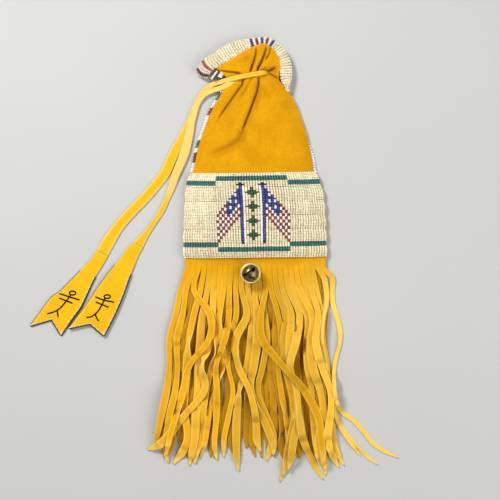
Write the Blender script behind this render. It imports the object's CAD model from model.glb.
"""Looks of the beaded hide pouch: beads, hide, fringe, thong and bell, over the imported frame."""
import math

import bmesh
import bpy
import numpy as np
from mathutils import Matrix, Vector
from mathutils.bvhtree import BVHTree


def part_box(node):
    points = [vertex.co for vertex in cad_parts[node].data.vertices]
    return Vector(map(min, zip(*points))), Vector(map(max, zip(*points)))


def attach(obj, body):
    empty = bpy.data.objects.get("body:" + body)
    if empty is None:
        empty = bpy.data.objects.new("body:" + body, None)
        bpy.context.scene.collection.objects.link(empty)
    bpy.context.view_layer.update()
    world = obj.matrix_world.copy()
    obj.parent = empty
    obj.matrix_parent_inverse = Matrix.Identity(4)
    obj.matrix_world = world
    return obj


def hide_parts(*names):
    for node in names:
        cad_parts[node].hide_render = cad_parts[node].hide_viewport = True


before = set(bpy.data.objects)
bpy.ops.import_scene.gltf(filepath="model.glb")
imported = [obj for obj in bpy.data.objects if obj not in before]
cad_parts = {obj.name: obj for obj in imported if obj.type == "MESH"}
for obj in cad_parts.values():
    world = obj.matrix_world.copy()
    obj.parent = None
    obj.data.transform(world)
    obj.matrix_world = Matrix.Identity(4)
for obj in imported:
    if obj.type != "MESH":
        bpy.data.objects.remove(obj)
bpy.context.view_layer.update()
RNG = np.random.default_rng(7)
MM = 0.001                    # all sizes below are in millimetres until a mesh is made
GAP = 0.3

# Places of the photograph's points, in pixels, become millimetres by this
PX = 0.85
PX_ORIGIN = (254.0, 216.0)

# Panel of beadwork
LANES = 6
COLUMNS = 55
ROWS = 9
LANE_PITCH = 11.97
LANE_GAP = 0.46               # thread and hide that show between two lanes
PANEL_TOP = 36.4
PANEL_OVERHANG = 0.8
ROW_RISE = 0.013              # how much the rows climb to the right
BEAD_RADIUS = 1.05
BEAD_LENGTH = 1.29
BEAD_SEAT = 0.68              # height of a bead's axis over the hide at the foot of its arch
LANE_ARCH = 1.10

# Hide body
EDGE_HEIGHT = 4.2
EDGE_SHARE = 0.6              # the edge is no higher than this share of the crest
SIDE_TUCK = 4.0
CROWN_POWER = 3.2             # a high power is a flat crown with steep sides
CROWN_FROM = 40.0             # from here to the neck the power falls by one
CROWN_SPAN = 60.0
PLAIN_FROM = 37.0             # above the panel, where the hide's unevenness comes in
PLAIN_SPAN = 8.0
NECK_LIFT = 2.3
NECK_FROM = 88.0
NECK_SPAN = 18.0
MOUTH_TOP = 8.4
MOUTH_BOTTOM = 1.2
MOUTH_SEAM = -0.35            # the hide's rim lies this far under the band's inner edge
MOUTH_FROM = 0.11             # shares of the band between which the rim runs
MOUTH_TO = 0.83
SHARP_FOLD = 1.2              # folds less wide than this are sharp, and dark at the bottom
LINE_STEPS = 400              # points in which an outline is read

# Mouth band, neck and side strips
RIM_TOP = 7.4                 # heights of the band's front half, its back half and between them
RIM_LOW = 2.6
RIM_MIDDLE = 5.0
RIM_TURN = 2.4                # radius in which the band turns from the front to the back
STRING_PITCH = 2.2            # between the band's strings
BEAD_PITCH = 1.31             # along one string
RIM_BEAD = (1.08, BEAD_PITCH)                     # radius and length
STRIP_BEAD = (1.02, 1.25)
NECK_BEAD = (1.0, 1.22)
STRIP_PITCH = 2.15
STRIP_SEAT = 1.12             # height of a bead's axis at the foot of its arch
STRIP_ARCH = 0.55
LEFT_STRIP = (107.5, 37.4)    # Y from its upper to its lower end
RIGHT_STRIP = (102.0, 37.4)
LEFT, RIGHT = 0, 1            # places of the two edges in edges_at
# The left strip's coloured stretches from one Y to another; the rest is white
LEFT_STRIP_BANDS = ((99.5, 104.5, "teal"), (86.5, 93.5, "brick"), (59.0, 65.5, "teal"),
                    (46.5, 53.5, "brick"))
# Strings that show between the band and the thong: first and last pixel, and a letter for each bead
NECK_STRINGS = [
    ((217.6, 71.2), (211.2, 79.2), "wwwwww"), ((219.6, 71.8), (213.9, 80.0), "gggggg"),
    ((221.9, 72.2), (216.8, 79.6), "wwwwgg"), ((223.9, 72.4), (219.8, 79.2), "pppwg"),
    ((226.0, 72.8), (222.9, 79.0), "ggggg"), ((228.0, 73.4), (226.0, 78.6), "gggg"),
]
STRIPE_PIXEL = (262.6, 41.5)  # middle of the red, white and blue stripes on the mouth band

# Body outline: Y, left X, right X, crest height, in millimetres, from the bottom seam to the neck
BODY_ROWS = [
    (-36.1, -58.6, 61.2, 5.6), (-28.1, -58.9, 61.0, 8.0), (-17.0, -58.8, 60.5, 9.6),
    (-6.0, -58.4, 60.0, 10.6), (5.1, -57.8, 59.3, 11.2), (16.1, -57.1, 58.1, 11.7),
    (27.2, -55.9, 55.2, 12.2), (34.9, -53.1, 51.9, 12.6), (40.8, -51.0, 50.1, 13.0),
    (47.6, -49.7, 49.1, 13.7), (56.1, -48.0, 47.6, 14.4), (64.6, -45.5, 45.9, 15.0),
    (75.6, -41.6, 42.9, 15.5), (85.0, -38.2, 39.5, 15.6), (93.5, -34.0, 36.5, 15.2),
    (100.3, -29.8, 32.7, 14.6), (106.2, -26.3, 28.9, 14.0), (111.3, -23.8, 24.6, 13.4),
    (115.2, -21.2, 21.1, 12.6),
]
# Folds that run from the cinched neck: points, depth and half-width, in millimetres
CREASES = [
    ([(-9, 117), (-10, 111), (-14.5, 105), (-19, 98.6), (-23, 93), (-28, 86), (-33, 78)], 3.0, 1.05),
    ([(-9, 117), (-11, 110), (-16, 104), (-21, 97), (-27, 88), (-35, 77)], 2.0, 2.8),
    ([(-2, 116), (-5.5, 110), (-8.5, 104), (-12, 100)], 1.5, 0.9),
    ([(-2, 116), (-6.5, 109), (-10, 103), (-14, 98)], 1.4, 2.2),
    ([(4, 116), (3.8, 110), (2.4, 104), (0.6, 99), (-2, 92), (-4, 86.5), (-6.6, 80), (-9.4, 73), (-12.0, 64)],
     3.8, 1.05),
    ([(5, 113), (3.2, 103), (0, 92), (-5.4, 80), (-10.5, 68)], 2.6, 3.2),
    ([(-9, 72), (-11.5, 63), (-18, 58.4), (-27, 54.6), (-42, 48.6)], 3.8, 3.4),
    ([(6, 112), (9, 106), (12, 102), (17, 100)], 1.5, 2.8),
    ([(2, 142), (1.4, 137), (0, 131), (-2.4, 124), (-3.4, 120)], 3.4, 0.95),
    ([(2.4, 141), (0, 132), (-2, 124)], 1.6, 2.4),
    ([(10.5, 143), (9.0, 137), (6.8, 131), (3.6, 125), (2.6, 120)], 3.8, 1.0),
    ([(14, 143), (13, 137), (9.0, 131)], 2.2, 1.0),
    ([(10, 140), (7.4, 132), (4, 126)], 1.4, 2.4),
    ([(7, 122.6), (12, 122.2), (15, 123.8), (20, 126.4)], 4.2, 1.1),
    ([(7, 122.2), (13, 120.6), (18, 118.0), (22, 115.6)], 3.0, 0.9),
    ([(8, 122.3), (14, 121.6), (21, 120.6)], 3.2, 3.0),
    ([(-29, 123.2), (-19, 121.6), (-9, 119.8)], 2.6, 1.0),
    ([(-21, 128.4), (-12, 130.6), (-5, 134), (-2, 137)], 2.2, 1.9),
    ([(-24, 127), (-15, 127.5), (-7, 126)], 1.0, 3.2),
]
# Mouth beadwork: centre line and half-width along the front, in millimetres
MOUTH_BAND = [
    (-43.2, 122.4, 6.0), (-39.2, 127.9, 6.0), (-32.7, 131.9, 6.2), (-24.2, 137.3, 6.6),
    (-15.3, 142.2, 6.3), (-6.8, 145.3, 4.8), (-0.8, 147.1, 3.5), (6.4, 148.7, 2.9),
    (13.2, 147.6, 3.1), (19.6, 142.8, 3.7), (24.0, 136.8, 4.2), (26.6, 130.0, 4.9),
    (27.2, 123.4, 5.4), (27.2, 117.2, 5.1), (27.8, 112.0, 3.4), (28.4, 108.8, 1.8),
]
# Both tails of the drawstring from the neck to their tabs: X, Y, width, height, in millimetres
TAIL_ONE = [
    (-26.0, 114.5, 4.1, 4.6), (-33.5, 112.9, 4.3, 0.9), (-41.4, 108.2, 4.5, 0.3), (-46.6, 101.0, 4.6, 0.3),
    (-50.5, 92.4, 4.9, 0.3), (-54.4, 82.4, 5.9, 0.3), (-59.2, 71.0, 7.2, 0.3), (-66.5, 56.8, 8.4, 0.3),
    (-71.3, 46.8, 8.6, 0.3), (-76.1, 36.5, 8.6, 0.3), (-85.2, 24.6, 8.6, 0.3), (-94.8, 13.6, 8.6, 0.3),
    (-105.2, 3.0, 8.7, 0.3), (-115.2, -8.5, 8.9, 0.3), (-123.2, -20.4, 10.5, 0.3),
    (-129.6, -31.9, 10.8, 0.3), (-135.0, -40.7, 11.2, 0.3), (-142.6, -50.6, 13.6, 0.3),
    (-149.7, -60.9, 17.8, 0.3), (-157.0, -71.2, 22.1, 0.3), (-164.6, -79.0, 25.5, 0.3),
]
TAIL_TWO = [
    (-35.5, 106.8, 4.3, 2.7), (-41.8, 103.9, 4.4, 2.6),
    (-45.9, 99.6, 4.6, 2.0), (-48.9, 94.2, 4.8, 2.0), (-51.2, 87.0, 5.4, 2.0), (-53.5, 79.1, 6.2, 2.0),
    (-55.2, 70.0, 7.2, 2.0), (-58.6, 55.6, 7.8, 2.0), (-62.4, 45.4, 7.4, 2.0), (-66.6, 35.7, 6.9, 1.6),
    (-70.3, 24.6, 6.1, 0.5), (-74.0, 15.3, 4.8, 0.3), (-78.5, 5.1, 4.6, 0.3), (-84.6, -4.2, 4.4, 0.3),
    (-90.4, -12.8, 4.8, 0.3), (-94.6, -18.7, 6.8, 0.3), (-98.9, -24.9, 9.3, 0.3),
    (-103.9, -31.5, 11.6, 0.3), (-109.0, -41.1, 13.6, 0.8), (-115.0, -51.1, 17.3, 1.6),
    (-122.1, -64.3, 21.7, 2.0), (-130.0, -79.0, 24.6, 2.2),
]
TAB_ONE_END = [(-190.7, -93.5), (-172.6, -88.1), (-164.6, -101.4)]
TAB_TWO_END = [(-157.6, -95.6), (-139.6, -91.6), (-127.8, -101.8)]
TAB_ONE_START = 15            # points of a tail before its tab
TAB_TWO_START = 16
# Shares of a tail's run between which it is paler, as on the second tail; the first has no such stretch
PALE_ONE = (2.0, 2.1)
PALE_TWO = (0.25, 0.78)
# Shares of a tab's outline between which it is edged with beads
EDGING_ONE = (0.115, 0.90)
EDGING_TWO = (0.125, 0.885)
THONG_HALF = 0.65             # half of the thong's thickness
THONG_CLEAR = 0.30            # over the gathers
CROSSING_SHARE = 0.88         # it is drawn narrower where it crosses them
EDGING_PITCH = 1.42
# Where the thong goes into the neck, and its way over the gathers: X, Y and width
SLIT_CENTRE = (10.4, 122.6)
NECK_DROP = [1.6, 2.7, 3.0, 2.4, 1.0]     # how far the thong sinks down the gathers at each of its points
NECK_CROSSING = [(8.0, 122.3, 4.4), (2.6, 122.4, 4.3), (-4.2, 121.5, 4.2), (-12.0, 119.4, 4.2),
                 (-19.6, 116.6, 4.2)]
# The second tail comes out from under the first one here: X, Y, width and height over the hide
NECK_BRANCH = [(-12.6, 116.6, 2.6, -0.9), (-15.6, 115.1, 3.3, 0.1), (-18.9, 113.1, 3.8, 0.45),
               (-22.4, 111.0, 4.2, 0.7)]
# Then it comes down over the hide's edge: X, Y, height and width
BRANCH_FALL = [(-26.0, 109.6, 6.2, 4.3), (-30.6, 108.1, 4.2, 4.3)]
# The drawn figures, in pixels: place and size of the ring for the head, then the strokes
FIGURE_WIDTH = 1.3
FIGURES = [
    ((72.0, 293.2), (3.2, 1.9),
     [((70.0, 295.4), (65.6, 301.4), (60.5, 307.4), (56.5, 310.6)),
      ((58.8, 293.8), (69.0, 297.0), (79.0, 300.2)), ((58.6, 298.2), (65.0, 300.8), (72.0, 303.4)),
      ((56.5, 310.6), (52.0, 312.6), (46.5, 314.0)), ((56.5, 310.6), (57.0, 314.0), (57.6, 317.2))]),
    ((107.0, 296.7), (3.1, 1.8),
     [((104.6, 298.6), (102.2, 304.0), (98.4, 310.6), (95.0, 314.2)),
      ((95.0, 297.0), (104.0, 300.3), (114.0, 302.3)), ((95.4, 302.0), (102.0, 304.8), (108.5, 307.4)),
      ((95.0, 314.2), (91.0, 316.8), (86.0, 317.6)), ((95.0, 314.2), (96.4, 318.0), (98.6, 321.2))]),
]

# Fringe
STRANDS = 26                  # the outer strand beside the last shares the place of strand 24
SHARED_STRAND = 24
FRINGE_THICK = 1.1
HEADER_HEIGHT = 7.5
FRONT_HEADER_Z = 3.1
FRONT_HEADER_UP = 0.75        # the front sheet is sewn on this much higher
HEADER_THIN = 0.22            # the header is pressed thinner by this
STRAND_STEPS = 88
STRAND_WIDTHS = {24: 0.66, 25: 0.85, 26: 0.66}    # share of the usual width
# Each strand's free width, its wander to the side, its curl and its turns on edge lie between these, in
# millimetres and degrees, and a turn's place and reach in shares of its length
FREE_WIDTH = (4.2, 7.0)
WANDER = (0.3, 1.2)
CURL = (2.0, 11.0)
TURN = (25.0, 68.0)
TURN_AT = (0.30, 0.92)
TURN_REACH = (0.025, 0.06)
TIP_FROM = 0.93               # share of its length where a strand narrows to its tip
SETTLE_REACH = 2.6            # a strand bridges this far to each side of one that it crosses
STRAND_CLEAR = 0.10
# Strands of the front layer: X at eight heights, then the tip, in millimetres
FRINGE_LEVELS = [-44.2, -62.9, -84.2, -105.4, -126.7, -147.9, -169.2, -190.4]
FRONT_STRANDS = [
    ([-57.8, -62.5, -66.7, -72.2, -71.8, -74.0, -79.0, -83.3], (-85.9, -198.1)),
    ([-53.5, -57.8, -60.4, -65.5, -65.5, -67.2, -71.4, -74.8], (-74.8, -210.8)),
    ([-49.5, -51.0, -37.4, -38.3, -54.4, -60.4, -66.3, -71.4], (-73.1, -204.0)),
    ([-44.2, -45.5, -51.0, -56.1, -57.8, -58.7, -57.8, -55.3], (-67.2, -212.5)),
    ([-39.1, -39.8, -43.4, -45.9, -48.5, -47.6, -49.3, -51.0], (-56.5, -212.5)),
    ([-34.9, -34.9, -34.9, -36.6, -43.4, -41.7, -59.5, -77.4], (-90.1, -200.6)),
    ([-29.8, -30.3, -31.0, -31.5, -35.7, -40.0, -43.4, -46.8], (-52.7, -210.8)),
    ([-25.5, -25.9, -28.1, -27.2, -27.2, -32.3, -37.4, -41.7], (-45.9, -205.7)),
    ([-20.4, -21.0, -22.1, -25.5, -31.5, -30.6, -31.5, -34.0], (-34.0, -208.3)),
    ([-16.2, -15.6, -14.5, -19.6, -22.1, -18.7, -22.1, -25.5], (-23.8, -205.7)),
    ([-11.1, -10.5, -6.0, -15.3, -13.6, -4.3, 0.9, 2.6], (4.3, -201.5)),
    ([-6.8, -5.0, -1.7, -3.4, -6.8, -11.9, -13.6, -14.5], (-15.3, -217.6)),
    ([-1.7, 0.5, 1.7, 1.7, 0.0, -1.7, 6.8, 14.5], (17.9, -203.2)),
    ([2.6, 5.2, 9.4, 10.2, 6.8, 4.3, 10.2, 15.3], (8.5, -208.3)),
    ([7.7, 9.8, 6.0, 7.7, 23.8, 42.5, 54.4, 57.0], (59.5, -213.4)),
    ([11.9, 14.6, 20.4, 22.1, 20.4, 23.0, 27.2, 28.9], (23.0, -227.0)),
    ([17.0, 19.5, 26.4, 24.7, 25.5, 30.6, 33.2, 30.6], (26.4, -221.9)),
    ([21.3, 24.5, 32.3, 30.6, 30.6, 35.7, 36.6, 32.3], (30.6, -215.9)),
    ([26.4, 29.5, 38.3, 34.9, 30.6, 36.6, 39.1, 42.5], (57.5, -225.7)),
    ([30.6, 34.5, 44.2, 43.4, 45.1, 50.2, 51.0, 51.9], (52.7, -206.6)),
    ([35.7, 39.5, 48.5, 47.6, 50.2, 56.1, 57.8, 55.3], (57.0, -214.2)),
    ([40.0, 44.4, 51.9, 49.3, 54.4, 59.5, 59.5, 57.8], (62.1, -221.0)),
    ([45.1, 49.0, 54.4, 52.7, 57.0, 63.8, 64.6, 62.9], (70.6, -215.1)),
    ([49.3, 53.5, 57.0, 55.3, 59.5, 65.5, 65.5, 68.0], (75.7, -213.4)),
]
OUTER_STRANDS = [
    [(54.4, -44.2), (60.4, -54.4), (62.1, -71.4), (58.7, -88.4), (58.7, -105.4), (62.1, -124.1),
     (62.9, -137.7), (66.3, -152.2), (68.0, -164.9), (73.1, -177.7), (81.6, -188.7), (91.0, -198.9),
     (97.8, -205.7), (105.0, -212.5)],
    [(59.1, -44.2), (66.7, -53.0), (66.5, -64.6), (67.2, -74.0), (70.6, -85.0), (74.0, -96.9),
     (74.0, -108.0), (70.6, -119.9), (68.0, -131.8), (67.2, -144.5), (68.9, -156.4), (74.0, -166.6),
     (85.0, -174.3), (94.4, -183.6), (102.0, -193.0), (111.4, -199.8), (122.4, -206.6)],
    [(54.4, -44.2), (60.0, -54.4), (61.5, -71.4), (58.2, -88.4), (58.0, -105.4), (61.4, -124.1),
     (62.2, -137.7), (65.0, -152.2), (67.2, -166.0), (71.0, -177.5), (77.0, -187.5), (84.0, -196.0),
     (91.5, -204.0)],
]
# Front strands that lie over all the others, from the lowest up
ON_TOP = [20, 8, 12, 22, 18, 25, 5, 2, 10, 14]
# Envelope of the back layer at the same eight heights
BACK_LEFT = [-60.4, -63.8, -66.3, -72.3, -72.3, -74.8, -79.9, -84.2]
BACK_RIGHT = [61.2, 62.1, 61.2, 61.2, 62.9, 67.2, 69.7, 72.3]

# Bell
BELL_CENTRE = (-3.0, -48.5)
DOME_RADIUS = 7.0
FRONT_HEIGHT = 5.8
BACK_HEIGHT = 5.2
SHELL_WALL = 0.5
FLANGE_RADIUS = 8.45
WORN_FROM = 7.3               # the brass is rubbed bright outside this radius
SLOT_FROM = (-5.7, -1.8)
SLOT_TO = (2.3, 3.2)
SLOT_HALF = 0.62
SLOT_FOOT = 1.0               # radius of the slot's narrow end
SLOT_HOLE = 1.6               # radius of its round end
SLOT_NECK = 2.6               # where the narrow end's round meets the slot
SLOT_DEPTH = (0.9, 9.8)       # the cutter's low and high end over the shell's rim

# Colours, linear: base, light, pale and deep of each hide
HIDE_TONES = ((0.54, 0.222, 0.001), (0.82, 0.40, 0.003), (0.86, 0.55, 0.10), (0.17, 0.050, 0.001))
FRINGE_TONES = ((0.64, 0.295, 0.003), (0.80, 0.41, 0.008), (0.90, 0.64, 0.13), (0.13, 0.042, 0.001))
THONG_TONES = ((0.74, 0.40, 0.004), (0.88, 0.52, 0.008), (0.92, 0.72, 0.26), (0.88, 0.61, 0.18))
TAB_TONES = ((0.74, 0.40, 0.004), (0.88, 0.52, 0.008), (0.90, 0.62, 0.10), (0.95, 0.84, 0.45))
HIDE_SHEEN = (1.0, 0.72, 0.20)
PLAIN_TONE = 0.5              # the tint's green where a piece has its material's own tone
THREAD_TONES = ((0.36, 0.30, 0.20), (0.62, 0.55, 0.40))
INK_TONES = ((0.004, 0.002, 0.001), (0.014, 0.007, 0.002))
BRASS_TONES = ((0.052, 0.040, 0.013), (0.34, 0.27, 0.13))
BRASS_WORN = (0.92, 0.77, 0.42)
STEEL_TONES = ((0.10, 0.07, 0.05), (0.34, 0.33, 0.32))
FLOOR_TONES = ((0.53, 0.53, 0.52), (0.57, 0.57, 0.56))
EDGING_BROWN = (0.07, 0.035, 0.008)

# Studio, in metres: place, size and power of each light
STAGE_MIDDLE = (-0.0034, -0.0289, 0.0)
KEY_LIGHT = ((-0.52, 0.58, 0.95), 0.30, 11.6)
FILL_LIGHT = ((0.75, -0.35, 0.95), 1.1, 7.2)
SKY = (1.0, 0.985, 0.96)
SKY_STRENGTH = 0.38
CAMERA_HEIGHT = 1.0675
CAMERA_LENS = 90.0
FLOOR_HALF = 3000
FLOOR_LOW = -0.02


def px(*points):
    """Pixels of the photograph to millimetres."""
    pts = np.array(points, float)
    return np.stack([(pts[:, 0] - PX_ORIGIN[0]) * PX, (PX_ORIGIN[1] - pts[:, 1]) * PX], axis=1)


def ramp(value, start, span):
    """0 up to start, 1 from start + span on, and straight between them."""
    return np.clip((value - start) / span, 0.0, 1.0)


def jitter(size, shape):
    """Normal random numbers, cut at twice their size."""
    return size * RNG.standard_normal(shape).clip(-2, 2)


def upward(count):
    return np.tile((0.0, 0.0, 1.0), (count, 1))


def run_length(points):
    """Length of a line up to each of its points."""
    return np.concatenate([[0.0], np.cumsum(np.linalg.norm(np.diff(points, axis=0), axis=1))])


def on_circle(radius, degrees, start=0.0):
    """A point of a circle whose centre lies at start on the first axis."""
    return start + radius * math.cos(math.radians(degrees)), radius * math.sin(math.radians(degrees))


def smooth_path(points, count):
    """Catmull-Rom curve p(t) = (2b + (c-a)t + (2a-5b+4c-d)t2 + (3b-a-3c+d)t3) / 2, read at even spacing."""
    pts = np.array(points, float)
    ext = np.vstack([2 * pts[0] - pts[1], pts, 2 * pts[-1] - pts[-2]])
    fine = []
    for i in range(1, len(ext) - 2):
        t = np.linspace(0.0, 1.0, 24, endpoint=False)[:, None]
        a, b, c, d = ext[i - 1], ext[i], ext[i + 1], ext[i + 2]
        fine.append(0.5 * (2 * b + (c - a) * t + (2 * a - 5 * b + 4 * c - d) * t ** 2
                           + (3 * b - a - 3 * c + d) * t ** 3))
    fine = np.vstack(fine + [pts[-1:]])
    length = run_length(fine[:, :3])
    want = np.linspace(0.0, length[-1], count)
    return np.stack([np.interp(want, length, fine[:, k]) for k in range(fine.shape[1])], axis=1)


def unit(v):
    return v / np.maximum(np.linalg.norm(v, axis=-1, keepdims=True), 1e-9)


def line_frame(line):
    """Direction along a flat line and to its left."""
    tang = unit(np.gradient(line, axis=0))
    return tang, np.stack([-tang[:, 1], tang[:, 0]], axis=1)


def tree_of(obj):
    """The search tree of a mesh, for heights over it."""
    bm = bmesh.new()
    bm.from_mesh(obj.data)
    tree = BVHTree.FromBMesh(bm)
    bm.free()
    return tree


def height_over(tree, x, y):
    hit = tree.ray_cast(Vector((x * MM, y * MM, 0.2)), Vector((0.0, 0.0, -1.0)))
    return hit[0].z / MM if hit[0] is not None else 0.0


def mesh_object(name, verts, quads, tris=(), mats=(), colours=None, smooth=True):
    """A mesh from millimetre vertices (n, 3), quads (m, 4) and triangles (k, 3)."""
    faces = np.asarray(quads, int).reshape(-1, 4).tolist() + np.asarray(tris, int).reshape(-1, 3).tolist()
    mesh = bpy.data.meshes.new(name)
    mesh.from_pydata((np.asarray(verts, float) * MM).tolist(), [], faces)
    if colours is not None:
        rgba = np.ones((len(verts), 4))
        rgba[:, :3] = colours
        attr = mesh.color_attributes.new("tint", "FLOAT_COLOR", "POINT")
        attr.data.foreach_set("color", rgba.ravel())
    for mat in mats:
        mesh.materials.append(mat)
    if smooth:
        mesh.polygons.foreach_set("use_smooth", [True] * len(mesh.polygons))
    mesh.update()
    obj = bpy.data.objects.new(name, mesh)
    bpy.context.collection.objects.link(obj)
    return obj


def ring_faces(rings, count, closed=False, caps=True):
    """Quads between rings of count points each, and triangle fans over the two end rings."""
    i = np.arange(rings if closed else rings - 1)[:, None]
    j = np.arange(count)[None, :]
    a = i * count + j
    b = i * count + (j + 1) % count
    nxt = ((i + 1) % rings) * count
    quads = np.stack([a, b, nxt + (j + 1) % count, nxt + j], axis=-1).reshape(-1, 4)
    tris = []
    if caps and not closed:
        k = np.arange(1, count - 1)
        first = np.stack([np.zeros_like(k), k + 1, k], axis=1)
        last = (rings - 1) * count + np.stack([np.zeros_like(k), k, k + 1], axis=1)
        tris = np.vstack([first, last])
    return quads, tris


# Hide body: the surface that carries the beads


def crease_depth(x, y):
    """Depth of the folds: the largest depth * fade * exp(-(distance / half width)2), in millimetres.
    The second array is the same for the sharp folds alone, as a share of their depth."""
    total = np.zeros_like(x)
    sharp = np.zeros_like(x)
    for points, depth, half_width in CREASES:
        pts = np.array(points, float)
        best = np.full(x.shape, 1e9)
        along = np.zeros_like(x)
        for i in range(len(pts) - 1):
            a, ab = pts[i], pts[i + 1] - pts[i]
            t = np.clip(((x - a[0]) * ab[0] + (y - a[1]) * ab[1]) / (ab ** 2).sum(), 0.0, 1.0)
            dist = np.hypot(x - a[0] - ab[0] * t, y - a[1] - ab[1] * t)
            nearer = dist < best
            best = np.where(nearer, dist, best)
            along = np.where(nearer, (i + t) / (len(pts) - 1), along)
        fade = np.minimum(1.0, 5.0 * (1.0 - along)) * np.minimum(1.0, 6.0 * along + 0.55)
        fold = fade * np.exp(-(best / half_width) ** 2)
        total = np.maximum(total, depth * fold)
        if half_width < SHARP_FOLD:
            sharp = np.maximum(sharp, fold * min(1.0, depth / 2.6))
    return total, sharp


def neck_lift(y):
    t = ramp(y, NECK_FROM, NECK_SPAN)
    return NECK_LIFT * t * t * (3 - 2 * t)


OUTLINE = smooth_path(BODY_ROWS, LINE_STEPS)


def edges_at(y):
    """X of the pouch's left and right edges."""
    return np.interp(y, OUTLINE[:, 0], OUTLINE[:, 1]), np.interp(y, OUTLINE[:, 0], OUTLINE[:, 2])


def crown(y, crest):
    """Height of the hide's edge at y, and the power of its crown."""
    edge = np.minimum(EDGE_HEIGHT, crest * EDGE_SHARE) + neck_lift(y)
    return edge, CROWN_POWER - ramp(y, CROWN_FROM, CROWN_SPAN)


def body_height(x, y):
    """z = edge + (crest - edge) * (1 - |s|^p) - crease * (1 - s^4), with s from -1 to 1 across the hide."""
    xl, xr = edges_at(y)
    crest = np.interp(y, OUTLINE[:, 0], OUTLINE[:, 3])
    s = np.clip(2.0 * (x - xl) / (xr - xl) - 1.0, -1.0, 1.0)
    edge, power = crown(y, crest)
    z = edge + (crest - edge) * (1.0 - np.abs(s) ** power)
    return z - crease_depth(x, y)[0] * (1.0 - np.abs(s) ** 4)


def mouth_line(count):
    """The hide's rim, just inside the beaded band."""
    band = smooth_path(MOUTH_BAND, LINE_STEPS)
    inner = band[:, :2] - line_frame(band[:, :2])[1] * (band[:, 2:3] + MOUTH_SEAM)
    return smooth_path(inner[int(MOUTH_FROM * LINE_STEPS):int(MOUTH_TO * LINE_STEPS):6], count)


def undulation(x, y):
    """Soft unevenness of worn hide, 0.25 mm high over 20 to 40 mm."""
    return 0.25 * (np.sin(x / 6.1 + 0.7 * np.sin(y / 9.0)) * np.sin(y / 7.3 + 1.1)
                   + 0.6 * np.sin(x / 3.7 - y / 5.2))


def across_row(row, s):
    """The X of one row of BODY_ROWS at each s from -1 to 1."""
    return row[1] + (row[2] - row[1]) * (s + 1.0) / 2.0


def pouch_row(row, s):
    """Top and underside of the hide at one row, with the depth of its folds."""
    y0, xl, xr, crest = row
    x = across_row(row, s)
    y = np.full_like(x, y0)
    edge, power = crown(y0, crest)
    depth, sharp = crease_depth(x, y)
    fold = depth * (1.0 - np.abs(s) ** 4)
    z = edge + (crest - edge) * (1.0 - np.abs(s) ** power) - fold
    z += undulation(x, y) * (1.0 - s ** 6) * ramp(y0, PLAIN_FROM, PLAIN_SPAN)
    low_l, low_r = xl + SIDE_TUCK, xr - SIDE_TUCK
    low_x = low_l + (low_r - low_l) * (s + 1.0) / 2.0
    low = np.stack([low_x, y, np.full_like(x, neck_lift(y0))], axis=1)
    return np.stack([x, y, z], axis=1), low, fold, sharp


def mouth_row(row, mouth, v, s):
    """The same at the share v of the way from the neck's row to the mouth."""
    x0 = across_row(row, s)
    x = x0 + (mouth[:, 0] - x0) * v
    y = row[0] + (mouth[:, 1] - row[0]) * v
    edge = (EDGE_HEIGHT + NECK_LIFT) * (1 - v) + MOUTH_TOP * v
    crest = row[3] * (1 - v) + MOUTH_TOP * v + 2.2 * math.sin(math.pi * v)
    depth, sharp = crease_depth(x, y)
    fold = depth * (1.0 - np.abs(s) ** 4) * (1.0 - v ** 3)
    z = edge + (crest - edge) * (1.0 - np.abs(s) ** 2.2) - fold
    z += undulation(x, y) * (1.0 - s ** 6) * (1.0 - v)
    low_x = x0 - SIDE_TUCK * (1 - v) * s + (mouth[:, 0] - x0) * v
    low = np.stack([low_x, y, np.full_like(x, NECK_LIFT * (1 - v) + MOUTH_BOTTOM * v)], axis=1)
    return np.stack([x, y, z], axis=1), low, fold, sharp


def hide_side(top, low, angle):
    """The quarter ellipse from a top point down to its low point."""
    out, down = np.cos(angle), 1.0 - np.sin(angle)
    across, along, rise = top - low
    return low + np.stack([across * out, along * out, rise * down], axis=1)


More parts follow.
